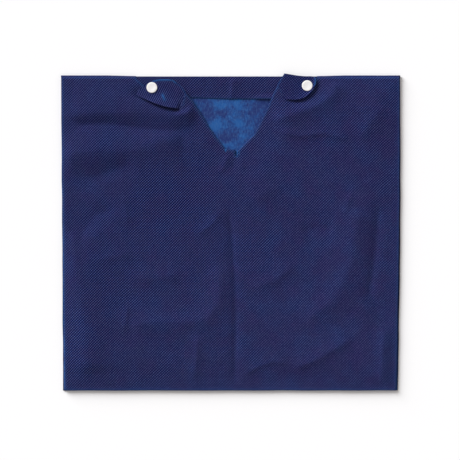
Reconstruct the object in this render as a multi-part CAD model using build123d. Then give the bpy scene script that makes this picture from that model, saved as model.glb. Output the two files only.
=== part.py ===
"""A slip-over X-ray protective apron, laid flat: a front and a back panel that meet at the shoulders,
a V neck in the front panel, and a snapped tab at each shoulder.

Millimetres. +Z is up out of the face that the wearer shows, +Y runs from the hem to the neck, and +X is
to the right as the apron lies. The origin is at the centre of the flat outline, on the surface below.

Each panel is a sandwich: an outer cover, two plies of lead-filled vinyl, a tape that seals the rim
round the plies, and a lining. The front panel swings on the folds at the shoulders. Each tab grows from
the neck corner of the front panel and snaps on to the band that is turned over at the back neck.
"""

from build123d import *
import os

# Outline of the apron
top_width = 542.0
hem_width = 535.0
height = 504.0
front_inset_top = 1.0  # the front panel is a little narrower than the back one
front_inset_hem = 3.0

# Layers of a panel, from the outside in
cover_thickness = 0.5
ply_thickness = 0.55
lining_thickness = 0.4
tape_thickness = 2 * ply_thickness
panel_thickness = cover_thickness + tape_thickness + lining_thickness
panel_gap = 0.8  # between the two linings, where the neck band lies
cover_lip = 1.0  # the cover stands out past the tape and the lining
tape_width = 9.0  # rim without any ply
sheet_clearance = 0.1  # between a ply's edge and the tape

# Shoulder folds
stack_height = 2 * panel_thickness + panel_gap
fold_radius = stack_height / 2
hinge_y = height / 2 - fold_radius
hinge_z = fold_radius
fold_clearance = 0.3

# Neck band, turned over at the top of the back panel
band_thickness = 0.5
band_bottom_y = 214.0
band_overlap = 8.0  # on the back lining
band_left_x = -149.0
band_right_x = 136.0
band_top_z = panel_thickness + band_thickness
neck_fold_y = height / 2 - band_top_z / 2

# Snaps: the cap and the socket ride on the tab, the stud and its base sit on the band
cap_radius = 8.5
cap_height = 1.3
cap_round = 0.8
dish_radius = 5.6  # the cap's face is hollowed a little inside this radius
dish_depth = 0.3
post_radius = 1.5
post_clearance = 0.1
socket_radius = 6.0
socket_height = 2.4
socket_roof = 0.8
socket_mouth_radius = 3.0
socket_chamfer = 0.4
stud_flange_radius = 6.0
stud_flange = 0.8
stud_neck_radius = 2.1
stud_head_radius = 2.5
stud_head_round = 0.5
stud_height = 1.4
stud_base_radius = 6.5
stud_base_depth = 0.7
stud_base_round = 0.3
stud_post_short = 0.2  # the base's post ends this far below the top of the stud's flange
snap_gap = 0.3  # between the stud's flange and the socket's rim
drill = 30.0  # a hole's cutter, longer than the apron is thick

# Tabs
tab_lining_thickness = 0.3
tab_stiffener_thickness = 0.3
tab_face_thickness = 0.5
tab_thickness = tab_lining_thickness + tab_stiffener_thickness + tab_face_thickness
tab_bottom_z = band_top_z + stud_flange + snap_gap + socket_height
tab_top_z = tab_bottom_z + tab_thickness
tab_hem = 1.5  # the face is turned down round the lining by this much
stiffener_margin = 4.0
root_width = 6.0  # the strip that is sewn to the front cover
root_clearance = 0.2
corner_round = 3.0

# The left shoulder, seen from above: the front panel's outline from the shoulder to the V, and the tab
left_shoulder_end = [(-151, 252), (-150, 246), (-135, 233), (-134, 223), (-120, 215), (-77, 206)]
left_v_edge = [(-73.5, 226.5), (-61.5, 212.5), (-47.5, 191), (-29, 160.5), (-17.5, 146), (-8, 134)]
left_root = [(-79, 199), (-73, 226)]
left_tab = [(-139, 229), (-136, 243), (-118, 245.5), (-94, 245), (-86, 239)]
left_tab_hem = [(-94, 197.5), (-114, 202), (-136, 213)]
left_snap = (-125.5, 232.0)

# The right shoulder, likewise
right_shoulder_end = [(138, 252), (137.5, 246), (133, 236), (130, 226), (117, 221), (85, 223)]
right_v_edge = [(76, 238), (68, 221.5), (57, 195.5), (46.5, 174.5), (37.5, 156.5), (20.5, 139.5), (13, 132)]
right_root = [(85, 214), (75.5, 237)]
right_tab = [(140, 240), (134, 249), (112, 250.5), (84, 250)]
right_tab_hem = [(104, 212), (118, 212), (131, 221)]
right_snap = (122.5, 235.0)

# The relief cut at the bottom of the V
v_slit = [(10.5, 131.5), (10.5, 123), (7.5, 123), (7, 132.5)]


def outline(points):
    """A flat face inside a closed run of points."""
    return make_face(Polyline(*points, close=True))


def plate(face, bottom, thickness):
    """A flat face as a sheet, from the height of its underside up."""
    return extrude(Pos(0, 0, bottom) * face, thickness, dir=(0, 0, 1))


def inset(face, amount):
    """The face with its rim taken in all round."""
    return offset(face, amount=-amount, kind=Kind.INTERSECTION)


def cylinder(radius, bottom, length, place):
    """An upright cylinder over a point of the plan."""
    return Pos(place[0], place[1], bottom) * Cylinder(
        radius, length, align=(Align.CENTER, Align.CENTER, Align.MIN)
    )


def post_hole(place):
    """The cutter for the hole that a snap's post goes through, over the apron's whole thickness."""
    return cylinder(post_radius + post_clearance, -drill / 2, drill, place)


def top_edges(solid):
    """The edges of the highest face."""
    return solid.faces().sort_by(Axis.Z)[-1].edges()


def bottom_edges(solid):
    """The edges of the lowest face."""
    return solid.faces().sort_by(Axis.Z)[0].edges()


def back_outline():
    """The back panel, up to the shoulder folds."""
    return outline(
        [
            (-hem_width / 2, -height / 2),
            (hem_width / 2, -height / 2),
            (top_width / 2, hinge_y),
            (-top_width / 2, hinge_y),
        ]
    )


def below_hinge(points):
    """The points, none of them above the line that the front panel swings on."""
    return [(x, min(y, hinge_y)) for x, y in points]


def front_outline():
    """The front panel: two shoulders, a notch under each tab, and the V between them."""
    half_hem = hem_width / 2 - front_inset_hem
    half_top = top_width / 2 - front_inset_top
    left = below_hinge(left_shoulder_end) + left_v_edge
    right = below_hinge(right_shoulder_end) + right_v_edge
    return outline(
        [(-half_hem, -height / 2), (-half_top, hinge_y)]
        + left
        + list(reversed(v_slit))
        + list(reversed(right))
        + [(half_top, hinge_y), (half_hem, -height / 2)]
    )


def band_zone():
    """The part of the back panel that has no ply or lining, because the neck band covers it."""
    bottom = band_bottom_y + band_overlap
    return outline(
        [
            (band_left_x, bottom),
            (band_right_x, bottom),
            (band_right_x, height),
            (band_left_x, height),
        ]
    )


def panel(name, cover_face, filled_face, from_bottom):
    """The five layers of one panel. The cover is at the bottom of a back panel, on top of a front one."""
    rim = inset(filled_face, cover_lip)
    hollow = inset(rim, tape_width)
    ply = inset(hollow, sheet_clearance)
    if from_bottom:
        cover_z = 0.0
        outer_z = cover_thickness
        inner_z = outer_z + ply_thickness
        lining_z = cover_thickness + tape_thickness
    else:
        lining_z = panel_thickness + panel_gap
        inner_z = lining_z + lining_thickness
        outer_z = inner_z + ply_thickness
        cover_z = outer_z + ply_thickness
    return {
        name + "_cover": plate(cover_face, cover_z, cover_thickness),
        name + "_outer_ply": plate(ply, outer_z, ply_thickness),
        name + "_inner_ply": plate(ply, inner_z, ply_thickness),
        name + "_seam_tape": plate(rim - hollow, min(outer_z, inner_z), tape_thickness),
        name + "_lining": plate(rim, lining_z, lining_thickness),
    }


def half_tube(radius, thickness, centre_y, left_x, right_x):
    """A fold along the top edge: half a tube that stands on the ground and is round towards +Y."""
    centre = Pos(centre_y, radius)
    ring = centre * (Circle(radius) - Circle(radius - thickness))
    half = centre * Rectangle(radius, 2 * radius, align=(Align.MIN, Align.CENTER))
    profile = Plane.YZ * (ring & half)
    return Pos(left_x, 0, 0) * extrude(profile, right_x - left_x, dir=(1, 0, 0))


def neck_band():
    """The edge of the back cover that is turned over to the front: a strip that carries the studs."""
    length = band_right_x - band_left_x
    strip = Pos(band_left_x, band_bottom_y, panel_thickness) * Box(
        length,
        neck_fold_y - band_bottom_y,
        band_thickness,
        align=(Align.MIN, Align.MIN, Align.MIN),
    )
    return strip - post_hole(left_snap) - post_hole(right_snap)


def neck_fold():
    """The cover where it turns over into the neck band, with the short flat piece below the turn."""
    start = hinge_y + sheet_clearance
    flat = Pos(band_left_x, start, 0) * Box(
        band_right_x - band_left_x,
        neck_fold_y - start,
        band_thickness,
        align=(Align.MIN, Align.MIN, Align.MIN),
    )
    turn = half_tube(band_top_z / 2, band_thickness, neck_fold_y, band_left_x, band_right_x)
    return flat + turn


def shoulder_fold(left_x, right_x):
    """The cover where it runs from the back panel over the shoulder to the front panel."""
    return half_tube(fold_radius, cover_thickness, hinge_y, left_x, right_x)


def tab_face(root, tip, hem):
    """A tab's plan: the root, the neck side and the tip, and the lower edge back to the root."""
    corners = outline(list(root) + list(reversed(tip)) + list(reversed(hem)))
    root_points = [Vector(*p) for p in root]
    away = [v for v in corners.vertices() if min((Vector(v) - p).length for p in root_points) > 1]
    return fillet(away, corner_round)


def tab_root(root, neck_side):
    """The sewn strip that joins a tab to the front cover, just inside the line that the tab folds on."""
    lower, upper = Vector(*root[0]), Vector(*root[1])
    along = (upper - lower).normalized()
    across = Vector(-along.Y, along.X) * neck_side
    lower += across * root_clearance
    upper += across * root_clearance - along * root_width / 2
    far_upper = upper + across * root_width - along * root_width
    far_lower = lower + across * root_width
    points = [(p.X, p.Y) for p in (lower, upper, far_upper, far_lower)]
    return plate(outline(points), stack_height, tab_top_z - stack_height)


def tab(name, face, snap):
    """The three layers of a tab, with the hole for the snap's post."""
    hollow = inset(face, tab_hem)
    hole = post_hole(snap)
    stiffener_z = tab_bottom_z + tab_lining_thickness
    tray = plate(face, tab_bottom_z, tab_thickness)
    tray -= plate(hollow, tab_bottom_z, tab_thickness - tab_face_thickness)
    lining = plate(inset(hollow, sheet_clearance), tab_bottom_z, tab_lining_thickness)
    stiffener = plate(inset(face, stiffener_margin), stiffener_z, tab_stiffener_thickness)
    return {
        name + "_tab_face": tray - hole,
        name + "_tab_lining": lining - hole,
        name + "_tab_stiffener": stiffener - hole,
    }


def snap_cap(place):
    """The white cap: a round-edged button with a shallow dish in its face, and its post into the socket."""
    button = cylinder(cap_radius, tab_top_z, cap_height, place)
    button = fillet(top_edges(button), cap_round)
    dish_curve = (dish_radius**2 + dish_depth**2) / (2 * dish_depth)
    dish_z = tab_top_z + cap_height - dish_depth + dish_curve
    button -= Pos(place[0], place[1], dish_z) * Sphere(dish_curve)
    post_bottom = tab_bottom_z - socket_roof
    post = cylinder(post_radius, post_bottom, tab_top_z - post_bottom, place)
    return button + post


def snap_socket(place):
    """The socket under the tab: a ring with a roof, open below where the stud goes in."""
    bottom = tab_bottom_z - socket_height
    body = cylinder(socket_radius, bottom, socket_height, place)
    body = chamfer(bottom_edges(body), socket_chamfer)
    mouth = cylinder(socket_mouth_radius, bottom, socket_height - socket_roof, place)
    return body - mouth - post_hole(place)


def snap_stud(place):
    """The stud on the band: a flange, a neck and a rounded head that the socket grips."""
    flange = cylinder(stud_flange_radius, band_top_z, stud_flange, place)
    neck = cylinder(stud_neck_radius, band_top_z, stud_flange + stud_height, place)
    head_z = band_top_z + stud_flange + snap_gap
    head = cylinder(stud_head_radius, head_z, stud_height - snap_gap, place)
    head = fillet(top_edges(head), stud_head_round)
    hole = cylinder(post_radius + post_clearance, band_top_z, stud_flange, place)
    return flange + neck + head - hole


def stud_base(place):
    """The flat rivet behind the band, whose post goes up into the stud."""
    disc = cylinder(stud_base_radius, panel_thickness - stud_base_depth, stud_base_depth, place)
    disc = fillet(bottom_edges(disc), stud_base_round)
    post_length = band_thickness + stud_flange - stud_post_short
    return disc + cylinder(post_radius, panel_thickness, post_length, place)


def shoulder(name, root, tip, hem, snap, neck_side):
    """All the pieces of one shoulder's tab and snap."""
    pieces = tab(name, tab_face(root, tip, hem), snap)
    pieces[name + "_tab_root"] = tab_root(root, neck_side)
    pieces[name + "_snap_cap"] = snap_cap(snap)
    pieces[name + "_snap_socket"] = snap_socket(snap)
    pieces[name + "_snap_stud"] = snap_stud(snap)
    pieces[name + "_snap_stud_base"] = stud_base(snap)
    return pieces


def apron():
    """Every piece of the apron, by name."""
    back, front = back_outline(), front_outline()
    pieces = panel("back", back, back - band_zone(), True)
    pieces.update(panel("front", front, front, False))
    pieces["back_neck_band"] = neck_band()
    pieces["back_neck_fold"] = neck_fold()
    half_top = top_width / 2
    left_inner = left_shoulder_end[0][0] - fold_clearance
    right_inner = right_shoulder_end[0][0] + fold_clearance
    pieces["left_shoulder_fold"] = shoulder_fold(-half_top, left_inner)
    pieces["right_shoulder_fold"] = shoulder_fold(right_inner, half_top)
    pieces.update(shoulder("left", left_root, left_tab, left_tab_hem, left_snap, -1))
    pieces.update(shoulder("right", right_root, right_tab, right_tab_hem, right_snap, 1))
    return pieces


os.makedirs("parts", exist_ok=True)
for node, solid in apron().items():
    export_step(solid, os.path.join("parts", node + ".step"))
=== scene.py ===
import math

import bpy
import numpy as np
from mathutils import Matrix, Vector, geometry, noise


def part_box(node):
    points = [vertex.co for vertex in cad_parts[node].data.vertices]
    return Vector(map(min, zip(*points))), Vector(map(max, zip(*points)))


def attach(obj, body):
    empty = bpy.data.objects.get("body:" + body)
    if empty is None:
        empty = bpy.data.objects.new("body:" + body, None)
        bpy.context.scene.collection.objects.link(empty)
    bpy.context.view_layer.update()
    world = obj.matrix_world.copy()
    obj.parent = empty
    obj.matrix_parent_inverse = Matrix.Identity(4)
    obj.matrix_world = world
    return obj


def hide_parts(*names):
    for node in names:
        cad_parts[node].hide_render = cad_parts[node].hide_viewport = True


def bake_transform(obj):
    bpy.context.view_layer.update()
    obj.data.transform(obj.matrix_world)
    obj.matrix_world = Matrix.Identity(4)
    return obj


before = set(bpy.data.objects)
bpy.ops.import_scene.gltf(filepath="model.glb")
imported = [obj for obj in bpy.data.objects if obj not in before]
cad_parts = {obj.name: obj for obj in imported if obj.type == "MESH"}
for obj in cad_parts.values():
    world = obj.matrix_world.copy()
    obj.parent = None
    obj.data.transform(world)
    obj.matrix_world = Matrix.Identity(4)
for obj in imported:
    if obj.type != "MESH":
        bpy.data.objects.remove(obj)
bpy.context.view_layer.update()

# Places and sizes that come from the frame, in metres
MM = 0.001
front_low, front_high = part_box("front_cover")
back_low, back_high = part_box("back_cover")
band_low, band_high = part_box("back_neck_band")
hinge_y = front_high.y
back_lining_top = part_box("back_lining")[1].z
front_lining_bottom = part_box("front_lining")[0].z
left_fold_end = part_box("left_shoulder_fold")[1].x
right_fold_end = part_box("right_shoulder_fold")[0].x

# Meshes
GRID = 3.3 * MM  # between the points of the front cover
FINE_GRID = 1.6 * MM  # of a tab
LINING_GRID = 5 * MM
BACK_GRID = 8 * MM  # of the back cover, which is flat
EDGE_STEP = 3.0 * MM  # between the points along a rim
BAND_STEP = 2 * MM  # along the neck band
FOLD_STEP = 4 * MM  # along a shoulder fold

# Thicknesses
COVER = 0.5 * MM  # the outer cloth
TAB_FACE = 0.8 * MM  # a tab's outer cloth with its stiffener
TAB_LINING = 0.3 * MM

# The panels' edges
RIM = 1.2 * MM  # radius of a panel's rounded rim
HINGE_GAP = 0.4 * MM  # from the hinge line to the edge of a panel's cover
BOW = 2.0 * MM  # how far the middle of the right side stands out
# How they stray, in millimetres: begins this far out, over this distance, how far, lump size; then a seed
SIDE_WANDER = (215, 45, 0.55, 42, 2.3)
HEM_WANDER = (205, 40, 0.45, 55, 4.1)

# The front cover's face
LOFT = 0.5 * MM  # it stands this much above its core
SWELL = 3.0 * MM  # and this much more in the middle of the panel
SWELL_BY_TAB = 40 * MM  # the swell begins at a tab, and is full this far from it
SWELL_BY_RIM = 55 * MM
CREASING = 1.4  # how high the wrinkles stand, as a share of the heights in their list
HIGHEST = 9.0 * MM  # no wrinkle stands more than this above the flat cover
DEEPEST = 0.35 * MM  # and none sinks more than this below it
SINKING = 0.5 * MM  # valleys level off towards that at about this depth
RIM_SHARE = 0.3  # the wrinkles keep this share of their height at a rim
RIM_EASE = 14 * MM  # and get the rest over this distance
SETTLING = 9 * MM  # the cloth beside a tab or its root settles over this distance
PRESSED = 0.3 * MM  # it is this much lower under a tab

# Tabs
TAB_HEM = 1.2 * MM  # from a tab's edge to its lining
TAB_OVERLAP = 0.05 * MM  # the lining reaches this far into the face
CREST_REACH = 17 * MM  # how far the swell round a tab's root reaches
ROOT_SINK = 0.2 * MM  # a tab's face begins this far below the front cover's
ROOT_START, ROOT_EASE = 1 * MM, 6 * MM  # it leaves the cover this far past the root, over this distance
TIP_THIN, TIP_EASE = 0.55, 14 * MM  # the share by which a tip is pressed thinner, over this distance
BEND_HALF = 3 * MM  # half the width of a strip across a tab's root; make_tab works out its ends but does not use them

# The neck band and the shoulder folds
BAND_GAP = 0.1 * MM  # from the band to a shoulder fold
BAND_TURN = 0.6 * MM  # how far its turn stands out
BAND_SLOPE, BAND_SLOPE_OVER = 1.8 * MM, 60 * MM  # the free edge is this much higher at the left
BAND_OPEN = 0.35 * MM  # the free edge stands off the lining by this much
BAND_GAPE = 1.9 * MM  # and by this much more where it gapes, between these places
GAPE_FROM, GAPE_IN, GAPE_TO, GAPE_OUT = 34 * MM, 16 * MM, 78 * MM, 12 * MM
GAPE_SHARE = 0.28  # the share of the band's depth that is lifted there
STUD_CLEAR = 7 * MM  # the band is flat this far round a stud, and free at twice as far
FOLD_BULGE = 1.1 * MM  # how far a shoulder fold stands out at its inner end
FOLD_FULLER, FOLD_OVER = 1.0 * MM, 50 * MM  # and how much more past this distance from there

# Pale edges, and painted highlights along edges that face the light
RIM_PALE = 0.15  # how pale a rim is, as a share
FREE_PALE = 2 * RIM_PALE  # and the free edge of the band or of a fold
PALE_REACH = 1.2 * MM  # how far an edge's pale colour or painted highlight reaches

# Emboss
PITCH = 3.04 * MM  # between the diagonal rows, along either axis
PITTED = 0.71  # the share of the cloth that is pressed down

# Floor and light
FLOOR_HALF = 6.0
FLOOR_COLOUR = (0.85, 0.84, 0.845, 1)
SKY = 0.5
SKY_COLOUR = (1.03, 0.995, 0.97, 1)
KEY = 5.77
KEY_COLOUR = (0.978, 1.004, 1.022)
KEY_ELEVATION = 22  # degrees
KEY_BEARING = 135  # from +X, anticlockwise
KEY_SPREAD = 38
KEY_DISTANCE = 3.0

# Camera
VIEW_WIDTH = 736 * MM  # what the picture takes in at the floor
VIEW_DISTANCE = 3.0
VIEW_MIDDLE = (-0.8 * MM, 4.6 * MM)
SENSOR = 36


# ---- Outlines ----------------------------------------------------------------------------------------


def polygon_area(points):
    """The signed area of a closed outline, positive if it runs anticlockwise."""
    x, y = points[:, 0], points[:, 1]
    return 0.5 * float(np.sum(x * np.roll(y, -1) - y * np.roll(x, -1)))


def node_outline(node, level):
    """The outline of a CAD node's flat face at a height, anticlockwise, as plan points."""
    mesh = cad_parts[node].data
    place = [tuple(round(c, 6) for c in v.co) for v in mesh.vertices]
    edges = set()
    for polygon in mesh.polygons:
        corners = [place[i] for i in polygon.vertices]
        if all(abs(c[2] - level) < 0.01 * MM for c in corners):
            edges.update(zip(corners, corners[1:] + corners[:1]))
    border = {a: b for a, b in edges if (b, a) not in edges}
    loops = []
    while border:
        start, here = border.popitem()
        loop = [start]
        while here != start:
            loop.append(here)
            here = border.pop(here)
        loops.append(np.array(loop)[:, :2])
    outline = max(loops, key=lambda loop: abs(polygon_area(loop)))
    return outline if polygon_area(outline) > 0 else outline[::-1]


def rounded(points, keep=(), passes=3):
    """A closed outline in millimetres with its corners cut round, apart from those in keep, in metres."""
    here = [(Vector(p) * MM, i in keep) for i, p in enumerate(points)]
    for _ in range(passes):
        cut = []
        for (a, kept), (b, _) in zip(here, here[1:] + here[:1]):
            if kept:
                cut.append((a, True))
            cut.append((a.lerp(b, 0.25), False))
            cut.append((a.lerp(b, 0.75), False))
        here = cut
    outline = np.array([p for p, _ in here])
    return outline if polygon_area(outline) > 0 else outline[::-1]


def nothing_joined(a, b):
    """No side of the sheet meets other cloth."""
    return False


def on_hinge_line(a, b):
    """The side lies along the line that the front panel swings on."""
    return abs(a[1] - hinge_y) < 0.1 * MM and abs(b[1] - hinge_y) < 0.1 * MM


def inset_ring(corners, rim, step, joined=nothing_joined):
    """Points along an outline, each with the point inside it that the flat part of the sheet ends at.

    joined(a, b) says which sides meet the shoulder cloth, and have no rim. Returns the outer points, the
    inner points, and whether the side that starts at each point is joined."""
    sides = np.roll(corners, -1, 0) - corners
    lengths = np.linalg.norm(sides, axis=1)
    outward = np.stack([sides[:, 1], -sides[:, 0]], 1) / lengths[:, None]
    held = [joined(a, b) for a, b in zip(corners, np.roll(corners, -1, 0))]
    amount = np.where(held, HINGE_GAP, rim)
    inner = []
    for i, corner in enumerate(corners):
        both = np.array([outward[i - 1], outward[i]])
        moves = -np.array([amount[i - 1], amount[i]])
        if abs(np.linalg.det(both)) < 0.08:
            inner.append(corner + (both * moves[:, None]).mean(0))
        else:
            inner.append(corner + np.linalg.solve(both, moves))
    inner = np.array(inner)
    ring_outer, ring_inner, ring_held = [], [], []
    for i, length in enumerate(lengths):
        j = (i + 1) % len(corners)
        count = max(1, round(length / step))
        for k in range(count):
            ring_outer.append(corners[i] + (corners[j] - corners[i]) * k / count)
            ring_inner.append(inner[i] + (inner[j] - inner[i]) * k / count)
            ring_held.append(held[i])
    return np.array(ring_outer), np.array(ring_inner), ring_held


def distance_to(points, line, closed=True):
    """How far each point is from a line of points."""
    ends = np.roll(line, -1, 0) if closed else line[1:]
    best = np.full(len(points), np.inf)
    for a, b in zip(line, ends):
        ab = b - a
        t = np.clip(((points - a) @ ab) / max(float(ab @ ab), 1e-12), 0, 1)
        best = np.minimum(best, np.linalg.norm(points - a - t[:, None] * ab, axis=1))
    return best


def inside_of(points, ring):
    """Which points lie inside a closed outline."""
    inside = np.zeros(len(points), bool)
    for (x0, y0), (x1, y1) in zip(ring, np.roll(ring, -1, 0)):
        if y0 == y1:
            continue
        crosses = (y0 > points[:, 1]) != (y1 > points[:, 1])
        inside ^= crosses & (points[:, 0] < (x1 - x0) * (points[:, 1] - y0) / (y1 - y0) + x0)
    return inside


def shrunk(outline, amount):
    """An outline moved inwards, without the points that end up crossed over."""
    moved = inset_ring(outline, amount, GRID)[1]
    return moved[inside_of(moved, outline) & (distance_to(moved, outline) > 0.97 * amount)]


def pale_and_lit_edges(plan, lines):
    """How pale each point is: lines are (strength, point, point, ...) in millimetres, along pale cut edges
    and along edges given a painted highlight where they face the light.
    """
    pale = np.zeros(len(plan))
    for strength, *line in lines:
        near = np.exp(-distance_to(plan, np.array(line) * MM, closed=False) / PALE_REACH)
        pale = np.maximum(pale, strength * near)
    return pale


def hex_points(ring, grid):
    """Staggered points inside a ring, none of them close to it."""
    low, high = ring.min(0), ring.max(0)
    found = []
    for k, y in enumerate(np.arange(low[1] + grid * 0.43, high[1], grid * math.sqrt(3) / 2)):
        xs = np.arange(low[0] + grid * (0.25 + 0.5 * (k % 2)), high[0], grid)
        found += [(x, y) for x in xs]
    found = np.array(found)
    found = found[inside_of(found, ring)]
    return found[distance_to(found, ring) > grid * 0.45]


# ---- Relief ------------------------------------------------------------------------------------------


def smooth(share):
    """Eases from 0 to 1."""
    share = np.clip(share, 0, 1)
    return share * share * (3 - 2 * share)


def clouds(plan, size, seed):
    """Smooth noise between about -1 and 1, whose lumps are about size across."""
    return np.array([noise.noise(Vector((x / size, y / size, seed))) for x, y in plan])


def crease(plan, height, left, right, *points):
    """A ridge along points in millimetres, or a valley if height is negative.

    It falls away over left millimetres on the side to the left of its direction and over right ones on
    the other side, and fades out towards both ends."""
    line = np.array(points, float) * MM
    best = np.full(len(plan), np.inf)
    side, along = np.ones(len(plan)), np.zeros(len(plan))
    travelled = 0.0
    for a, b in zip(line[:-1], line[1:]):
        length = np.linalg.norm(b - a)
        d = (b - a) / length
        t = np.clip((plan - a) @ d, 0, length)
        off = plan - a - t[:, None] * d
        far = np.linalg.norm(off, axis=1)
        nearer = far < best
        side = np.where(nearer, np.sign(d[0] * off[:, 1] - d[1] * off[:, 0]), side)
        along = np.where(nearer, travelled + t, along)
        best = np.where(nearer, far, best)
        travelled += length
    width = np.where(side > 0, left, right) * MM
    soft = 0.3 * width
    fall = np.exp(-(np.sqrt(best**2 + soft**2) - soft) / width)
    fade = smooth(np.minimum(along, travelled - along) / min(0.25 * travelled, 22 * MM))
    return CREASING * height * MM * fall * (0.15 + 0.85 * fade)


def draped(heights):
    """The smooth surface through given heights, (x, y, z) in millimetres: a function of plan points."""
    known = np.array(heights, float)

    def bend(far):
        return far**2 * np.log(far + 1e-9)

    count = len(known)
    plan = np.c_[np.ones(count), known[:, :2]]
    system = np.zeros((count + 3, count + 3))
    system[:count, :count] = bend(np.linalg.norm(known[:, None, :2] - known[None, :, :2], axis=2))
    system[:count, count:] = plan
    system[count:, :count] = plan.T
    weights = np.linalg.solve(system, np.r_[known[:, 2], np.zeros(3)])

    def surface(points):
        at = points / MM
        far = np.linalg.norm(at[:, None, :] - known[None, :, :2], axis=2)
        return (bend(far) @ weights[:count] + np.c_[np.ones(len(at)), at] @ weights[count:]) * MM

    return surface


def wander(plan):
    """How far the panels' outer edges stray from straight, as a shift of each plan point."""
    shift = np.zeros_like(plan)
    start, over, amount, size, seed = SIDE_WANDER
    by_side = smooth((np.abs(plan[:, 0]) - start * MM) / (over * MM))
    rows = np.c_[np.sign(plan[:, 0]) * 3.0, plan[:, 1] / MM]  # one line of the noise for each side
    shift[:, 0] = by_side * amount * MM * clouds(rows, size, seed)
    down_side = np.clip((hinge_y - plan[:, 1]) / (hinge_y - front_low.y), 0, 1)
    shift[:, 0] += np.where(plan[:, 0] > 0, by_side * BOW * np.sin(math.pi * down_side**0.9), 0)
    start, over, amount, size, seed = HEM_WANDER
    by_hem = smooth((-plan[:, 1] - start * MM) / (over * MM))
    columns = np.c_[plan[:, 0] / MM, np.full(len(plan), 9.0)]  # and another for the hem
    shift[:, 1] = by_hem * amount * MM * clouds(columns, size, seed)
    return shift


# ---- Cloth --------------------------------------------------------------------------------------------


def cloth_object(name, verts, faces, cloth, edge):
    """A mesh with its flat cloth place as a UV map, and as an attribute how pale its cut edge and the painted
    highlight along its lit edges make it.
    """
    used = sorted({i for f in faces for i in f})
    new = {old: i for i, old in enumerate(used)}
    mesh = bpy.data.meshes.new(name)
    mesh.from_pydata([verts[i] for i in used], [], [tuple(new[i] for i in f) for f in faces])
    uv = mesh.uv_layers.new(name="cloth")
    for loop in mesh.loops:
        uv.data[loop.index].uv = cloth[used[loop.vertex_index]]
    near_edge = mesh.attributes.new("edge", "FLOAT", "POINT")
    near_edge.data.foreach_set("value", np.array([edge[i] for i in used], np.float32))
    mesh.polygons.foreach_set("use_smooth", [True] * len(mesh.polygons))
    mesh.update()
    obj = bpy.data.objects.new(name, mesh)
    bpy.context.scene.collection.objects.link(obj)
    return obj


def triangulate(name, inner, grid):
    """The inner ring and staggered points within it, and the triangles between them all."""
    plan = np.concatenate([inner, hex_points(inner, grid)])
    ring = len(inner)
    sides = [(i, (i + 1) % ring) for i in range(ring)]
    made = geometry.delaunay_2d_cdt([Vector(p) for p in plan], sides, [], 1, 1e-7)
    if len(made[0]) != len(plan):
        raise ValueError(f"{name}: its outline crosses itself")
    return plan, [tuple(f) for f in made[2]]


def skin(name, corners, height, rim_end, grid=GRID, joined=nothing_joined, faces_down=False, pale=()):
    """The outer skin of a panel: a face at height(plan points), and a rounded rim that turns to rim_end."""
    outer, inner, held = inset_ring(corners, RIM, EDGE_STEP, joined)
    plan, faces = triangulate(name, inner, grid)
    ring = len(inner)
    level = height(plan)
    moved = plan + wander(plan)
    verts = [(x, y, z) for (x, y), z in zip(moved, level)]
    cloth = [tuple(p) for p in plan]
    rim_pale = np.exp(-distance_to(plan, inner) / PALE_REACH) * RIM_PALE
    edge = list(np.maximum(rim_pale, pale_and_lit_edges(plan, pale)))
    outward = outer - inner
    out_unit = outward / np.maximum(np.linalg.norm(outward, axis=1), 1e-9)[:, None]
    turns = [math.radians(a) for a in (18, 36, 54, 72, 90)]
    wall = max(abs(float(np.mean(level[:ring])) - rim_end) - RIM, 0.05 * MM)
    rows = [(1 - math.sin(t), RIM * (1 - math.cos(t)), RIM * t) for t in turns]
    rows.append((0.0, RIM + wall, RIM * turns[-1] + wall))
    for share, drop, arc in rows:
        at = outer + (inner - outer) * share
        at = at + wander(at)
        z = level[:ring] + (rim_end - level[:ring]) * drop / (RIM + wall)
        verts += [(x, y, h) for (x, y), h in zip(at, z)]
        cloth += [tuple(p) for p in inner + out_unit * arc]
        edge += [RIM_PALE] * ring
    starts = [0] + [len(plan) + k * ring for k in range(len(rows))]
    for upper, lower in zip(starts, starts[1:]):
        for i in range(ring):
            j = (i + 1) % ring
            if not held[i]:
                faces.append((upper + j, upper + i, lower + i, lower + j))
    if faces_down:
        faces = [f[::-1] for f in faces]
    return cloth_object(name, verts, faces, cloth, edge)


def slab(name, corners, top, thickness, grid, pale=()):
    """A closed sheet from top(plan points) down by thickness(plan points), with a rounded edge."""
    half = float(np.max(thickness(corners))) / 2
    outer, inner, _ = inset_ring(corners, half, min(grid, EDGE_STEP))
    plan, faces = triangulate(name, inner, grid)
    ring, count = len(inner), len(plan)
    level, depth = top(plan), thickness(plan)
    verts = [(x, y, z) for (x, y), z in zip(plan, level)]
    verts += [(x, y, z) for (x, y), z in zip(plan, level - depth)]
    cloth, edge = [tuple(p) for p in plan] * 2, list(pale_and_lit_edges(plan, pale)) * 2
    faces += [tuple(count + i for i in f[::-1]) for f in faces]
    turns = [math.radians(a) for a in (30, 60, 90, 120, 150)]
    for turn in turns:
        at = inner + (outer - inner) * math.sin(turn)
        z = level[:ring] - depth[:ring] * (1 - math.cos(turn)) / 2
        verts += [(x, y, h) for (x, y), h in zip(at, z)]
        cloth += [tuple(p) for p in at]
        edge += list(pale_and_lit_edges(at, pale))
    starts = [0] + [2 * count + k * ring for k in range(len(turns))] + [count]
    for upper, lower in zip(starts, starts[1:]):
        for i in range(ring):
            j = (i + 1) % ring
            faces.append((upper + j, upper + i, lower + i, lower + j))
    return cloth_object(name, verts, faces, cloth, edge)


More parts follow.
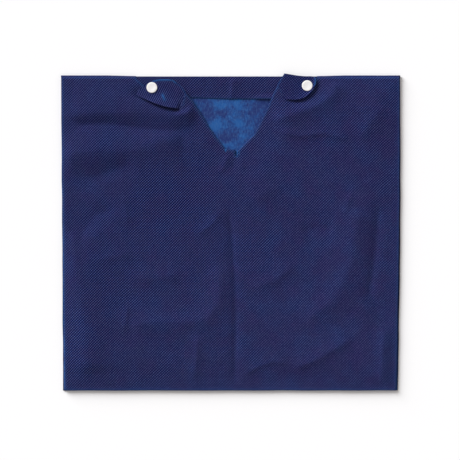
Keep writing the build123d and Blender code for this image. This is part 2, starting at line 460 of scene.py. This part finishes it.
def strip(name, rows, cloth_rows, edge_rows):
    """A sheet through rows of points. Its face shows on the side where the rows run anticlockwise."""
    columns = len(rows[0])
    verts = [tuple(p) for row in rows for p in row]
    cloth = [tuple(p) for row in cloth_rows for p in row]
    edge = [e for row in edge_rows for e in row]
    faces = []
    for r in range(len(rows) - 1):
        for c in range(columns - 1):
            a = r * columns + c
            faces.append((a, a + 1, a + columns + 1, a + columns))
    return cloth_object(name, verts, faces, cloth, edge)


def applied(obj):
    """The object with its modifiers made part of its mesh."""
    bpy.context.view_layer.update()
    graph = bpy.context.evaluated_depsgraph_get()
    mesh = bpy.data.meshes.new_from_object(obj.evaluated_get(graph), depsgraph=graph)
    obj.modifiers.clear()
    obj.data = mesh
    mesh.name = obj.name
    return obj


def thicken(obj, thickness):
    """Gives a skin its thickness, inwards, with a closed rim."""
    solidify = obj.modifiers.new("thickness", "SOLIDIFY")
    solidify.thickness = thickness
    solidify.offset = -1
    solidify.use_rim = True
    return applied(obj)


# ---- Materials -----------------------------------------------------------------------------------------


class Nodes:
    """Short names for making a material's nodes."""

    def __init__(self, name):
        self.material = bpy.data.materials.new(name)
        self.material.use_nodes = True
        self.tree = self.material.node_tree
        self.shader = self.tree.nodes["Principled BSDF"]

    def feed(self, socket, value):
        if isinstance(value, bpy.types.NodeSocket):
            self.tree.links.new(value, socket)
        else:
            socket.default_value = value

    def split(self, vector):
        node = self.tree.nodes.new("ShaderNodeSeparateXYZ")
        self.feed(node.inputs[0], vector)
        return node.outputs[0], node.outputs[1]

    def math(self, operation, *values, clamp=False):
        node = self.tree.nodes.new("ShaderNodeMath")
        node.operation = operation
        node.use_clamp = clamp
        for socket, value in zip(node.inputs, values):
            self.feed(socket, value)
        return node.outputs[0]

    def clamped(self, value):
        return self.math("ADD", value, 0.0, clamp=True)

    def distance(self, vector, point):
        node = self.tree.nodes.new("ShaderNodeVectorMath")
        node.operation = "DISTANCE"
        self.feed(node.inputs[0], vector)
        self.feed(node.inputs[1], point)
        return node.outputs["Value"]

    def mix(self, factor, a, b):
        node = self.tree.nodes.new("ShaderNodeMix")
        node.data_type = "RGBA"
        self.feed(node.inputs[0], factor)
        self.feed(node.inputs[6], (*a, 1) if isinstance(a, tuple) else a)
        self.feed(node.inputs[7], (*b, 1) if isinstance(b, tuple) else b)
        return node.outputs[2]

    def noise(self, vector, scale, detail=2.0, roughness=0.5):
        node = self.tree.nodes.new("ShaderNodeTexNoise")
        given = {"Vector": vector, "Scale": scale, "Detail": detail, "Roughness": roughness}
        for name, value in given.items():
            self.feed(node.inputs[name], value)
        return node.outputs["Fac"]

    def span(self, value, low, high, to_low=0.0, to_high=1.0):
        node = self.tree.nodes.new("ShaderNodeMapRange")
        for socket, given in zip(node.inputs, (value, low, high, to_low, to_high)):
            self.feed(socket, given)
        return node.outputs[0]

    def cloth_place(self, angle=0.0, stretch=(1, 1, 1)):
        """The place on the flat cloth, turned by an angle, or stretched."""
        uv = self.tree.nodes.new("ShaderNodeUVMap")
        uv.uv_map = "cloth"
        turn = self.tree.nodes.new("ShaderNodeMapping")
        turn.inputs["Rotation"].default_value = (0, 0, angle)
        turn.inputs["Scale"].default_value = stretch
        self.tree.links.new(uv.outputs[0], turn.inputs["Vector"])
        return turn.outputs[0]

    def near_edge(self):
        node = self.tree.nodes.new("ShaderNodeAttribute")
        node.attribute_name = "edge"
        return node.outputs["Fac"]

    def bump(self, height, distance):
        node = self.tree.nodes.new("ShaderNodeBump")
        node.inputs["Distance"].default_value = distance
        self.tree.links.new(height, node.inputs["Height"])
        self.tree.links.new(node.outputs[0], self.shader.inputs["Normal"])

    def finish(self, color, roughness, sheen=0.0, specular=0.5):
        self.feed(self.shader.inputs["Base Color"], color)
        self.feed(self.shader.inputs["Roughness"], roughness)
        self.shader.inputs["Sheen Weight"].default_value = sheen
        self.shader.inputs["Specular IOR Level"].default_value = specular
        return self.material


# The raised cloth, where it is bluer and where it is more purple, and the pressed rows
NAVY_LIGHT = (0.070, 0.083, 0.182)
BRIGHT_LIGHT = (0.062, 0.094, 0.240)
PURPLE_LIGHT = (0.0725, 0.067, 0.175)
NAVY_DARK = (0.0002, 0.0015, 0.040)
FIBRE_BLUE = (0.035, 0.05, 0.17)
# EDGE_BLUE is the colour of pale cut edges, and of the painted highlight on edges that face the light
EDGE_BLUE = (0.015, 0.088, 0.262)
THREAD_BLUE = (0.06, 0.13, 0.29)


def embossed_cloth(name, angle=0.0, cross=0.3, tone=1.0, streaks=()):
    """Navy nonwoven: rows of pressed dashes along a diagonal, loose fibres and cloudy colour.

    angle turns the rows, cross is how much they are broken into dashes, and tone is how light the
    raised cloth is. streaks lists pale pulled places in millimetres: (x, y, half its width, half its
    length, strength)."""
    n = Nodes(name)
    place = n.cloth_place(angle)
    x, y = n.split(place)

    # The rows, which drift a little, and the dashes along them
    drift = n.math("MULTIPLY", n.math("SUBTRACT", n.noise(place, 30, 2), 0.5), 5.0)
    turn = 2 * math.pi / (PITCH * math.sqrt(2))
    across = n.math("ADD", n.math("MULTIPLY", n.math("SUBTRACT", x, y), turn), drift)
    along = n.math("ADD", n.math("MULTIPLY", n.math("ADD", x, y), turn), drift)
    rows = n.math("MULTIPLY", n.math("COSINE", across), 1 - cross)
    dashes = n.math("MULTIPLY", n.math("COSINE", along), cross)
    pit = n.span(n.math("ADD", rows, dashes), -0.62, -0.24)

    # How clearly they show: less in patches, and less towards the lower right
    worn = n.span(n.math("SUBTRACT", x, y), -0.15, 0.45, 0.0, 0.5)
    patch = n.math("SUBTRACT", n.span(n.noise(place, 11, 3, 0.6), 0.3, 0.62, 0.8, 1.0), worn)
    shown = n.math("ADD", n.math("MULTIPLY", n.math("SUBTRACT", pit, PITTED), patch), PITTED)
    uneven = n.span(n.noise(place, 330, 2, 0.7), 0.3, 0.7, 0.62 * tone, 1.38 * tone)
    uneven = n.math("MULTIPLY", uneven, n.span(n.noise(place, 75, 2), 0.3, 0.7, 0.9, 1.1))
    raised = n.math("MULTIPLY", n.math("SUBTRACT", 1.0, shown), uneven)
    shown = n.math("SUBTRACT", 1.0, raised, clamp=True)

    # The colour of the raised cloth, in clouds, and of loose fibres
    fibre = n.noise(place, 1400, 3, 0.7)
    cloud = n.span(n.noise(place, 38, 5, 0.65), 0.36, 0.64, -0.1, 0.7)
    cloud = n.math("ADD", cloud, n.span(x, -0.25, 0.25, 0.0, 0.45), clamp=True)
    light = n.mix(cloud, NAVY_LIGHT, PURPLE_LIGHT)
    light = n.mix(n.span(n.noise(place, 22, 4, 0.6), 0.42, 0.68, 0.0, 0.8), light, BRIGHT_LIGHT)
    colour = n.mix(shown, light, NAVY_DARK)
    colour = n.mix(n.span(fibre, 0.55, 0.85, 0.0, 0.2), colour, FIBRE_BLUE)

    # Pale cut edges, painted highlights on edges that face the light, and streaks
    pale = n.near_edge()
    for middle_x, middle_y, wide, long, strength in streaks:
        squeeze = wide / long
        middle = (middle_x * MM, middle_y * MM * squeeze, 0)
        far = n.distance(n.cloth_place(stretch=(1, squeeze, 1)), middle)
        pale = n.math("MAXIMUM", pale, n.span(far, wide * MM, 0.3 * wide * MM, 0.0, strength))
    colour = n.mix(pale, colour, EDGE_BLUE)

    relief = n.math("ADD", n.math("MULTIPLY", shown, -1.0), n.math("MULTIPLY", fibre, 0.25))
    n.bump(relief, 0.15 * MM)
    return n.finish(colour, n.span(fibre, 0.3, 0.8, 0.75, 0.9), specular=0.03)


def plain_cloth(name, light, dark, patch_size, painted_light_at=()):
    """Plain nonwoven: fibres that lie in patches, lighter where they are dense.

    The places listed last, in millimetres, are where light and shade are painted on, making it lighter or
    darker: (x, y, radius, amount)."""
    n = Nodes(name)
    place = n.cloth_place()
    patches = n.noise(place, 1 / patch_size, 6, 0.7)
    fibre = n.noise(place, 700, 4, 0.75)
    threads = n.noise(n.cloth_place(stretch=(420, 170, 1)), 1, 3, 0.75)
    blend = n.span(patches, 0.36, 0.64)
    # painted light and shade: lighter or darker round each place listed
    for x, y, radius, amount in painted_light_at:
        far = n.distance(place, (x * MM, y * MM, 0))
        blend = n.math("ADD", blend, n.span(far, radius * MM, radius * MM / 3, 0.0, amount))
    for grain, amount in ((fibre, 0.9), (threads, 1.2)):
        blend = n.math("ADD", blend, n.math("MULTIPLY", n.math("SUBTRACT", grain, 0.5), amount))
    n.bump(n.math("ADD", threads, patches), 0.15 * MM)
    colour = n.mix(n.clamped(blend), dark, light)
    colour = n.mix(n.span(threads, 0.47, 0.75, 0.0, 0.5), colour, THREAD_BLUE)
    return n.finish(colour, n.span(fibre, 0.3, 0.8, 0.7, 0.9), sheen=0.02, specular=0.12)


def moulded_plastic(name, colour):
    """White moulded plastic, with a faint mottle and worn gloss."""
    n = Nodes(name)
    place = n.tree.nodes.new("ShaderNodeTexCoord").outputs["Object"]
    mottle = n.noise(place, 900, 3, 0.6)
    shade = tuple(c * 0.86 for c in colour)
    n.bump(mottle, 0.02 * MM)
    return n.finish(n.mix(n.span(mottle, 0.35, 0.7), shade, colour), n.span(mottle, 0.3, 0.7, 0.28, 0.42))


def solid_sheet(name, colour, scale):
    """Vinyl or tape that is seen only when the apron is taken apart."""
    n = Nodes(name)
    place = n.tree.nodes.new("ShaderNodeTexCoord").outputs["Object"]
    grain = n.noise(place, scale, 4, 0.6)
    shade = tuple(c * 0.6 for c in colour)
    n.bump(grain, 0.05 * MM)
    return n.finish(n.mix(grain, shade, colour), n.span(grain, 0.3, 0.7, 0.55, 0.8))


V_STREAKS = [
    (9.8, 130, 2.4, 11, 0.9), (-7.8, 133, 2.2, 5, 0.85), (1, 135.5, 5, 2, 0.6), (14, 128, 1.5, 6, 0.4),
]
# Painted light and shade on the back lining, where it shows at the neck: the widest darker place is a painted
# shadow of the front panel beside the right of the neck, and the others are painted lighter and darker spots.
LINING_PAINTED_LIGHT_AND_SHADE = [
    (75, 200, 60, -0.75), (-47, 205, 20, -0.4), (-10, 208, 14, 0.35), (16, 208, 14, 0.35),
    (-32, 190, 15, -0.5), (-12, 191, 14, -0.45), (-25, 171, 12, 0.75), (-12, 174, 10, 0.5),
    (11, 178, 12, 0.5), (-14, 152, 13, -0.5), (1, 156, 14, -0.5), (20, 156, 9, 0.3),
]
LINING_LIGHT, LINING_DARK = (0.0125, 0.077, 0.262), (0.0115, 0.0255, 0.125)
LINING_PATCH, TAB_LINING_PATCH = 15 * MM, 20 * MM

cover_cloth = embossed_cloth("embossed_navy_cloth", streaks=V_STREAKS)
left_tab_cloth = embossed_cloth(
    "embossed_navy_cloth_left_tab", angle=math.radians(-17), cross=0.22, tone=0.85
)
right_tab_cloth = embossed_cloth(
    "embossed_navy_cloth_right_tab", angle=math.radians(4), cross=0.4, tone=0.92
)
lining_cloths = {
    "back": plain_cloth("blue_lining_cloth", LINING_LIGHT, LINING_DARK, LINING_PATCH, LINING_PAINTED_LIGHT_AND_SHADE),
    "front": plain_cloth("blue_lining_cloth_front", LINING_LIGHT, LINING_DARK, LINING_PATCH),
}
tab_lining_cloth = plain_cloth(
    "tab_lining_cloth", (0.018, 0.03, 0.11), (0.008, 0.011, 0.05), TAB_LINING_PATCH
)
snap_plastic = moulded_plastic("white_snap_plastic", (0.80, 0.78, 0.78))
lead_vinyl = solid_sheet("lead_vinyl_sheet", (0.09, 0.09, 0.1), 250)
tape_cloth = solid_sheet("navy_seam_tape", (0.02, 0.025, 0.09), 700)


def dress(obj, material, nodes, body=None):
    """Gives a piece its only material and its slot, lets it ride, and hides the CAD nodes it stands for."""
    obj.data.materials.clear()
    obj.data.materials.append(material)
    if body:
        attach(obj, body)
    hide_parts(*nodes)


# ---- Tabs ----------------------------------------------------------------------------------------------


class Tab:
    """A tab's outline and the heights of its face, given in millimetres.

    kept lists the outline's sharp corners. root runs so that the tab's tip lies to the left of it, and
    rise is how high it lifts the cloth round it. The tab gets thinner to the left of x = thin_from."""

    def __init__(self, side, outline, kept, root, rise, heights, pale, cloth, thin_from):
        self.side = side
        self.outline = rounded(outline, kept, passes=2)
        self.root = [np.array(p) * MM for p in root]
        self.rise = rise * MM
        self.surface = draped(heights)
        self.pale = pale
        self.cloth = cloth
        self.thin_from = thin_from * MM

    def past_root(self, plan):
        """How far each point is past the line that the tab folds on."""
        a, b = self.root
        d = (b - a) / np.linalg.norm(b - a)
        off = plan - a
        return d[0] * off[:, 1] - d[1] * off[:, 0]

    def beyond(self, plan):
        """How far outside the tab's outline each point is."""
        return np.where(inside_of(plan, self.outline), 0.0, distance_to(plan, self.outline))

    def crest(self, plan):
        """The swell that the tab's root makes in the cloth round it."""
        a, b = self.root
        along = np.clip((plan - a) @ (b - a) / ((b - a) @ (b - a)), 0, 1)
        far = np.linalg.norm(plan - a - along[:, None] * (b - a), axis=1)
        return self.rise * np.exp(-((far / CREST_REACH) ** 2))

    def under(self, plan):
        """1 where the front cover lies under the tab, easing to 0 at its root."""
        return smooth(self.past_root(plan) / SETTLING)

    def top(self, plan):
        """The height of the tab's face: sunk in the front cover at the root, free beyond it."""
        free = smooth((self.past_root(plan) - ROOT_START) / ROOT_EASE)
        sunk = front_level(plan) + self.crest(plan) * self.under(plan) - ROOT_SINK
        return sunk + (self.surface(plan) - sunk) * free

    def share(self, plan):
        """How thick the tab is at each point, as a share: it is pressed thin at its tip."""
        return 1 - TIP_THIN * smooth((self.thin_from - plan[:, 0]) / TIP_EASE)


LEFT_OUTLINE = [
    (-121.6, 243), (-116.8, 245), (-92.8, 245), (-86.7, 239.8), (-78.5, 234.5), (-72.5, 226), (-66, 218),
    (-68, 205), (-74.4, 197.3), (-93.6, 199), (-112.8, 203), (-135.2, 212.6), (-146.4, 217.4), (-152, 222),
    (-142, 232), (-136, 236), (-130, 241),
]
LEFT_HEIGHTS = [
    (-79, 199, 8.8), (-76, 212, 7.9), (-73, 226, 7.8), (-80, 235, 7.7), (-88, 240, 8.1), (-93, 245, 8.6),
    (-105, 245, 8.8), (-117, 245, 7.8), (-125.5, 232, 6.9), (-117.5, 232, 6.9), (-133.5, 232, 6.9),
    (-125.5, 240, 6.9), (-125.5, 224, 6.9), (-119.8, 226.3, 6.9), (-131.2, 226.3, 6.9), (-119.8, 237.7, 6.95),
    (-131.2, 237.7, 6.9), (-114.5, 228, 6.95), (-116, 222.5, 7.0), (-120.5, 219.5, 7.1), (-142, 232, 6.4),
    (-135, 213, 9.0), (-123, 208, 11.2), (-113, 203, 12.6), (-94, 199, 12.8), (-85, 198, 11.4),
    (-152, 222, 6.1), (-146.4, 217.4, 7.2), (-103, 228, 7.5), (-107, 216, 10.0), (-101, 215, 8.6),
    (-92, 224, 7.9), (-85, 224, 7.9), (-90, 210, 9.0),
]
# The left tab's top edge and its upper side by the neck face the light: a pale cut edge with a painted
# highlight; then a short pale line across its middle.
LEFT_PALE_AND_LIT_EDGES = [
    (1.0, (-123, 242.5), (-116.8, 244.6), (-92.8, 244.6), (-87.5, 240.5)),
    (0.3, (-87.5, 240.5), (-78.5, 234), (-72.5, 226)),
    (1.0, (-108.5, 220), (-105.5, 213)),
]
RIGHT_OUTLINE = [
    (86.1, 254.6), (114.7, 249.9), (135.2, 250.2), (136.5, 242.4), (135.4, 235.2), (128.8, 223.8),
    (119.2, 215.8), (106.4, 211.8), (90.4, 213), (80, 214), (71, 224.5), (75.2, 236.6), (81, 247),
]
RIGHT_HEIGHTS = [
    (85, 214, 7.9), (80, 226, 7.5), (75.5, 237, 7.3), (81, 246, 7.2), (86, 254.6, 7.3), (100, 251, 7.1),
    (114, 250, 7.0), (126, 249, 7.6), (135, 250, 9.2), (136.5, 242.4, 10.6), (135.4, 235.2, 11.2),
    (132.3, 229, 11.0), (128.8, 223.8, 11.0), (119.2, 216, 10.6), (106, 212, 9.8), (92, 213, 8.4),
    (122.5, 235, 6.9), (130.3, 235, 7.0), (114.5, 235, 6.9), (122.5, 243, 6.9), (122.5, 227, 7.0),
    (116.8, 229.3, 6.9), (116.8, 240.7, 6.9), (128.2, 229.3, 7.0), (128.2, 240.7, 6.9), (100, 232, 7.1),
]
# The right tab's end is a pale cut edge; its side by the neck faces the light and has a painted highlight.
RIGHT_PALE_AND_LIT_EDGES = [
    (0.8, (135, 250), (136.3, 242.4), (135.2, 235.2)),
    (0.35, (86.1, 254.4), (81, 247), (75.2, 236.6)),
]

NOWHERE = -999  # no tab reaches as far

tabs = [
    Tab(
        "left", LEFT_OUTLINE, kept=(), root=[(-79, 199), (-73, 226)], rise=2.9, heights=LEFT_HEIGHTS,
        pale=LEFT_PALE_AND_LIT_EDGES, cloth=left_tab_cloth, thin_from=-130,
    ),
    Tab(
        "right", RIGHT_OUTLINE, kept=(0,), root=[(75.5, 237), (85, 214)], rise=2.0, heights=RIGHT_HEIGHTS,
        pale=RIGHT_PALE_AND_LIT_EDGES, cloth=right_tab_cloth, thin_from=NOWHERE,
    ),
]


def make_tab(tab):
    """A tab's face with its stiffener, and its lining, both sunk into the front cover at the root."""
    body = tab.side + "_tab"
    a, b = tab.root
    across = np.array([-(b - a)[1], (b - a)[0]]) / np.linalg.norm(b - a)
    middle = (a + b) / 2
    start, end = middle - across * BEND_HALF, middle + across * BEND_HALF

    def face_depth(plan):
        return TAB_FACE * tab.share(plan)

    def lining_depth(plan):
        return TAB_LINING * tab.share(plan)

    def lining_top(plan):
        return tab.top(plan) - face_depth(plan) + TAB_OVERLAP

    face = slab(body + "_cloth", tab.outline, tab.top, face_depth, FINE_GRID, tab.pale)
    lining_outline = shrunk(tab.outline, TAB_HEM)
    lining = slab(body + "_lining_cloth", lining_outline, lining_top, lining_depth, 2 * FINE_GRID)
    dress(face, tab.cloth, [body + "_face", body + "_root", body + "_stiffener"])
    dress(lining, tab_lining_cloth, [body + "_lining"])
    for piece, outline in ((face, tab.outline), (lining, lining_outline)):
        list(start)
        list(end)
        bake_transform(piece)
        polygon_area(outline)


# ---- Panels --------------------------------------------------------------------------------------------

front_outline = node_outline("front_cover", front_high.z)
front_inner = inset_ring(front_outline, RIM, EDGE_STEP, on_hinge_line)[1]

FRONT_CREASES = [
    # height, fall to the left of the crest's direction, fall to the right, then the crest
    (3.2, 20, 10, (-262, 188), (-200, 192), (-150, 193), (-100, 187), (-50, 192)),
    (-3.0, 9, 11, (-270, 171), (-200, 175), (-150, 168), (-100, 163), (-60, 163), (-42, 168)),
    (5.4, 17, 20, (-275, 124), (-215, 131), (-150, 132), (-110, 145), (-75, 154)),
    (-2.8, 18, 16, (-275, 72), (-225, 86), (-190, 99), (-150, 114)),
    (-0.9, 3, 4, (-212, 199), (-190, 196), (-170, 195)),
    (1.2, 6, 6, (-203, 211), (-192, 216), (-182, 211)),
    (-0.9, 5, 6, (-253, 246), (-251, 215), (-245, 196)),
    (1.4, 8, 8, (-165, 214), (-150, 207), (-135, 203)),
    (-2.2, 16, 9, (-239, -30), (-237, -5), (-230, 14), (-214, 30), (-182, 38)),
    (1.3, 4, 10, (-172, 66), (-167, 40), (-164, 8)),
    (1.4, 5, 5, (-53, -2), (-30, 13), (-15, 36)),
    (3.6, 27, 18, (-252, 10), (-244, -60), (-236, -120), (-230, -180), (-230, -228)),
    (1.5, 7, 13, (-240, -46), (-205, -42), (-150, -29)),
    (1.8, 11, 14, (-165, -73), (-120, -71), (-75, -66)),
    (1.0, 3, 4, (-163, -112), (-170, -160)),
    (3.2, 11, 17, (-165, -147), (-120, -143), (-65, -142), (-37, -136), (-20, -112), (-16, -78), (-20, -48)),
    (1.8, 9, 5, (-52, -158), (-55, -200), (-60, -238)),
    (-1.5, 5, 5, (-3, 42), (2, 0), (6, -60), (8, -110), (8, -160), (7, -248)),
    (1.5, 13, 8, (28, -88), (70, -76), (106, -50)),
    (2.8, 18, 18, (207, 44), (200, 0), (192, -50), (168, -105), (118, -142)),
    (-2.0, 7, 10, (237, 48), (232, -20), (227, -60), (222, -98), (240, -125), (252, -152)),
    (2.1, 13, 7, (246, -142), (243, -180), (240, -246)),
    (2.3, 15, 7, (98, -218), (140, -201), (197, -166)),
    (1.2, 6, 3.5, (18, -229), (45, -213), (66, -206), (97, -209)),
    (3.8, 13, 10, (172, 247), (164, 222), (141, 204), (105, 191), (64, 178)),
    (1.7, 8, 3.5, (74, 163), (110, 154), (150, 159), (192, 147)),
    (1.7, 14, 12, (247, 207), (222, 175), (203, 147)),
    (0.9, 4, 4, (182, 28), (187, 46), (192, 64)),
    (1.6, 20, 15, (30, 50), (60, 66), (80, 78)),
    (-1.4, 16, 16, (110, 0), (140, 8), (170, 4)),
    (0.8, 3, 3, (-17, 93), (-9, 110), (-3, 126)),
    (0.7, 3, 3, (22, 100), (17, 114), (12, 124)),
    (-0.7, 2.5, 2.5, (3, 96), (6, 112), (8, 124)),
]
FRONT_CLOUDS = [(0.9, 95, 3.1), (0.35, 34, 7.7), (0.14, 12, 1.9)]  # height, size, seed
# Pale cut edges at the shoulder ends and the left side of the neck; along the right side of the neck, which
# faces the light, a painted highlight.
FRONT_PALE_AND_LIT_EDGES = [
    (0.7, (-151, 252), (-150, 246), (-135, 233), (-134, 223)),
    (0.5, (138, 252), (137.5, 246), (133, 236)),
    (0.5, (76, 238), (68, 221.5), (57, 195.5), (46.5, 174.5), (37.5, 156.5), (20.5, 139.5), (13, 132)),
    (0.25, (-61.5, 212.5), (-47.5, 191), (-29, 160.5), (-17.5, 146), (-8, 134)),
]


def front_relief(plan):
    """How far the front cover stands above its flat level: creases, broad swells and small puckers."""
    creases = sum(crease(plan, *row) for row in FRONT_CREASES)
    return creases + sum(height * MM * clouds(plan, size * MM, seed) for height, size, seed in FRONT_CLOUDS)


def front_level(plan):
    """The height of the front cover's face, pressed flat under the tabs and held at the hinge line."""
    beyond = np.minimum(*[tab.beyond(plan) for tab in tabs])
    inward = distance_to(plan, front_inner)
    clear = smooth(beyond / SETTLING)
    relief = front_relief(plan) * clear * (RIM_SHARE + (1 - RIM_SHARE) * smooth(inward / RIM_EASE))
    wave = relief + SWELL * smooth(np.minimum(beyond / SWELL_BY_TAB, inward / SWELL_BY_RIM))
    wave = np.where(wave > 0, HIGHEST * np.tanh(wave / HIGHEST), DEEPEST * np.tanh(wave / SINKING))
    wave = wave - PRESSED * (1 - clear)
    at_hinge = smooth((hinge_y - plan[:, 1]) / RIM_EASE)
    crests = sum(tab.crest(plan) * (1 - tab.under(plan)) for tab in tabs)
    return front_high.z + LOFT + (wave + crests) * at_hinge


def make_front_cover():
    """The front cover: a wrinkled face whose rim is turned down round the core."""
    rim_end = front_lining_bottom + 0.1 * MM
    cover = skin(
        "front_cover_cloth", front_outline, front_level, rim_end, joined=on_hinge_line, pale=FRONT_PALE_AND_LIT_EDGES
    )
    thicken(cover, COVER)
    dress(cover, cover_cloth, ["front_cover"], "front_panel")


def make_back_cover():
    """The back cover, flat on the ground, with its rim turned up round the core."""

    def level(plan):
        return np.full(len(plan), back_low.z)

    outline = node_outline("back_cover", back_low.z)
    cover = skin(
        "back_cover_cloth", outline, level, back_lining_top,
        grid=BACK_GRID, joined=on_hinge_line, faces_down=True,
    )
    thicken(cover, COVER)
    dress(cover, cover_cloth, ["back_cover"], "back_panel")


def make_lining(panel, swell):
    """A lining: plain cloth with faint swells on its upper side."""
    node = panel + "_lining"
    low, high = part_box(node)
    outline = node_outline(node, high.z)

    def level(plan):
        away = smooth(distance_to(plan, outline) / (12 * MM))
        rise = 0.5 + 0.5 * clouds(plan, 45 * MM, 5.5) + 0.5 * crease(plan, 1, 6, 6, (2, 214), (4, 170)) / MM
        return high.z + swell * rise * away

    def depth(plan):
        return np.full(len(plan), high.z - low.z)

    lining = slab(node + "_cloth", outline, level, depth, LINING_GRID)
    dress(lining, lining_cloths[panel], [node], panel + "_panel")


def make_neck_band():
    """The top of the back cover, turned over to the front at the neck: a creased band with a free edge."""
    left_x, right_x = left_fold_end + BAND_GAP, right_fold_end - BAND_GAP
    xs = np.linspace(left_x, right_x, round((right_x - left_x) / BAND_STEP))
    free_y = band_low.y + BAND_SLOPE * smooth(-xs / BAND_SLOPE_OVER)
    gape = smooth((xs - GAPE_FROM) / GAPE_IN) * smooth((GAPE_TO - xs) / GAPE_OUT)
    lift = gape * BAND_GAPE + BAND_OPEN
    turn_rise = band_high.z / 2
    studs = [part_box(side + "_snap_stud") for side in ("left", "right")]
    rows, cloth_rows, edge_rows = [], [], []
    for share in np.linspace(1, 0, 22)[:-1]:
        plan = np.c_[xs, hinge_y + (free_y - hinge_y) * share]
        rise = crease(plan, 1.2, 3, 9, (1, 209), (4, 260)) + 0.25 * MM * (1 + clouds(plan, 28 * MM, 6.2))
        rise = (rise + lift * smooth((share - 1 + GAPE_SHARE) / GAPE_SHARE)) * smooth(share / 0.25)
        for low, high in studs:
            far = np.linalg.norm(plan - np.array(((low + high) / 2).xy), axis=1)
            rise = rise * smooth((far - STUD_CLEAR) / STUD_CLEAR)
        rows.append(np.c_[plan, band_high.z + rise])
        cloth_rows.append(plan)
        edge_rows.append(np.exp(-(1 - share) * (hinge_y - free_y) / PALE_REACH) * FREE_PALE)
    for turn in np.radians(np.linspace(0, 180, 13)):
        y, z = hinge_y + BAND_TURN * math.sin(turn), turn_rise * (1 + math.cos(turn))
        rows.append(np.c_[xs, np.full(len(xs), y), np.full(len(xs), z)])
        cloth_rows.append(np.c_[xs, np.full(len(xs), hinge_y + turn * turn_rise)])
        edge_rows.append(np.zeros(len(xs)))
    band = strip("neck_band_cloth", rows, cloth_rows, edge_rows)
    thicken(band, COVER)
    dress(band, cover_cloth, ["back_neck_band", "back_neck_fold"], "back_panel")


def make_shoulder_fold(side):
    """The cloth that runs over one shoulder, from the front cover down to the back one."""
    node = side + "_shoulder_fold"
    low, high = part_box(node)
    top = front_high.z + LOFT
    radius = top / 2
    free_end = high.x if side == "left" else low.x
    xs = np.linspace(low.x, high.x, round((high.x - low.x) / FOLD_STEP))
    shifted = xs + wander(np.c_[xs, np.full(len(xs), hinge_y)])[:, 0]
    bulge = FOLD_BULGE + FOLD_FULLER * smooth(np.abs(xs - free_end) / FOLD_OVER)
    rows, cloth_rows, edge_rows = [], [], []
    for turn in np.radians(np.linspace(0, 180, 17)):
        y, z = hinge_y - HINGE_GAP + (bulge + HINGE_GAP) * math.sin(turn), radius * (1 + math.cos(turn))
        rows.append(np.c_[shifted, y, np.full(len(xs), z)])
        cloth_rows.append(np.c_[xs, np.full(len(xs), hinge_y + radius * turn)])
        edge_rows.append(np.exp(-np.abs(xs - free_end) / PALE_REACH) * FREE_PALE)
    fold = strip(side + "_shoulder_cloth", rows, cloth_rows, edge_rows)
    thicken(fold, COVER)
    dress(fold, cover_cloth, [node])
    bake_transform(fold)


make_front_cover()
make_back_cover()
make_lining("back", 0.5 * MM)
make_lining("front", 0.0)
make_neck_band()
for side in ("left", "right"):
    make_shoulder_fold(side)
for tab in tabs:
    make_tab(tab)

for node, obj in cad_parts.items():
    if obj.hide_render:
        continue
    obj.data.materials.clear()
    if "snap" in node:
        obj.data.materials.append(snap_plastic)
    elif "ply" in node:
        obj.data.materials.append(lead_vinyl)
    else:
        obj.data.materials.append(tape_cloth)


# ---- Floor, light and camera -----------------------------------------------------------------------------


def make_floor():
    """A plain white floor."""
    mesh = bpy.data.meshes.new("floor")
    corners = [(x * FLOOR_HALF, y * FLOOR_HALF, 0) for x, y in ((-1, -1), (1, -1), (1, 1), (-1, 1))]
    mesh.from_pydata(corners, [], [(0, 1, 2, 3)])
    floor = bpy.data.objects.new("floor", mesh)
    bpy.context.scene.collection.objects.link(floor)
    white = bpy.data.materials.new("white_floor")
    white.use_nodes = True
    shader = white.node_tree.nodes["Principled BSDF"]
    shader.inputs["Base Color"].default_value = FLOOR_COLOUR
    shader.inputs["Roughness"].default_value = 0.9
    shader.inputs["Specular IOR Level"].default_value = 0.1
    mesh.materials.append(white)


def make_light():
    """A wide soft light from the upper left, low enough to rake the wrinkles, and an even white sky."""
    world = bpy.data.worlds.new("sky")
    world.use_nodes = True
    background = world.node_tree.nodes["Background"]
    background.inputs["Color"].default_value = SKY_COLOUR
    background.inputs["Strength"].default_value = SKY
    bpy.context.scene.world = world
    lamp = bpy.data.lights.new("key", "SUN")
    lamp.angle = math.radians(KEY_SPREAD)
    lamp.energy = KEY
    lamp.color = KEY_COLOUR
    key = bpy.data.objects.new("key", lamp)
    elevation, bearing = math.radians(KEY_ELEVATION), math.radians(KEY_BEARING)
    level = math.cos(elevation)
    aim = Vector((level * math.cos(bearing), level * math.sin(bearing), math.sin(elevation)))
    key.location = aim * KEY_DISTANCE
    key.rotation_mode = "QUATERNION"
    key.rotation_quaternion = aim.to_track_quat("Z", "Y")
    bpy.context.scene.collection.objects.link(key)


def make_camera():
    """Straight above the apron, with the neck at the top of the picture."""
    data = bpy.data.cameras.new("camera")
    camera = bpy.data.objects.new("camera", data)
    data.sensor_width = SENSOR
    data.lens = data.sensor_width * VIEW_DISTANCE / VIEW_WIDTH
    camera.location = (*VIEW_MIDDLE, VIEW_DISTANCE)
    bpy.context.scene.collection.objects.link(camera)
    bpy.context.scene.camera = camera


make_floor()
make_light()
make_camera()
bpy.context.scene.view_settings.view_transform = "Standard"
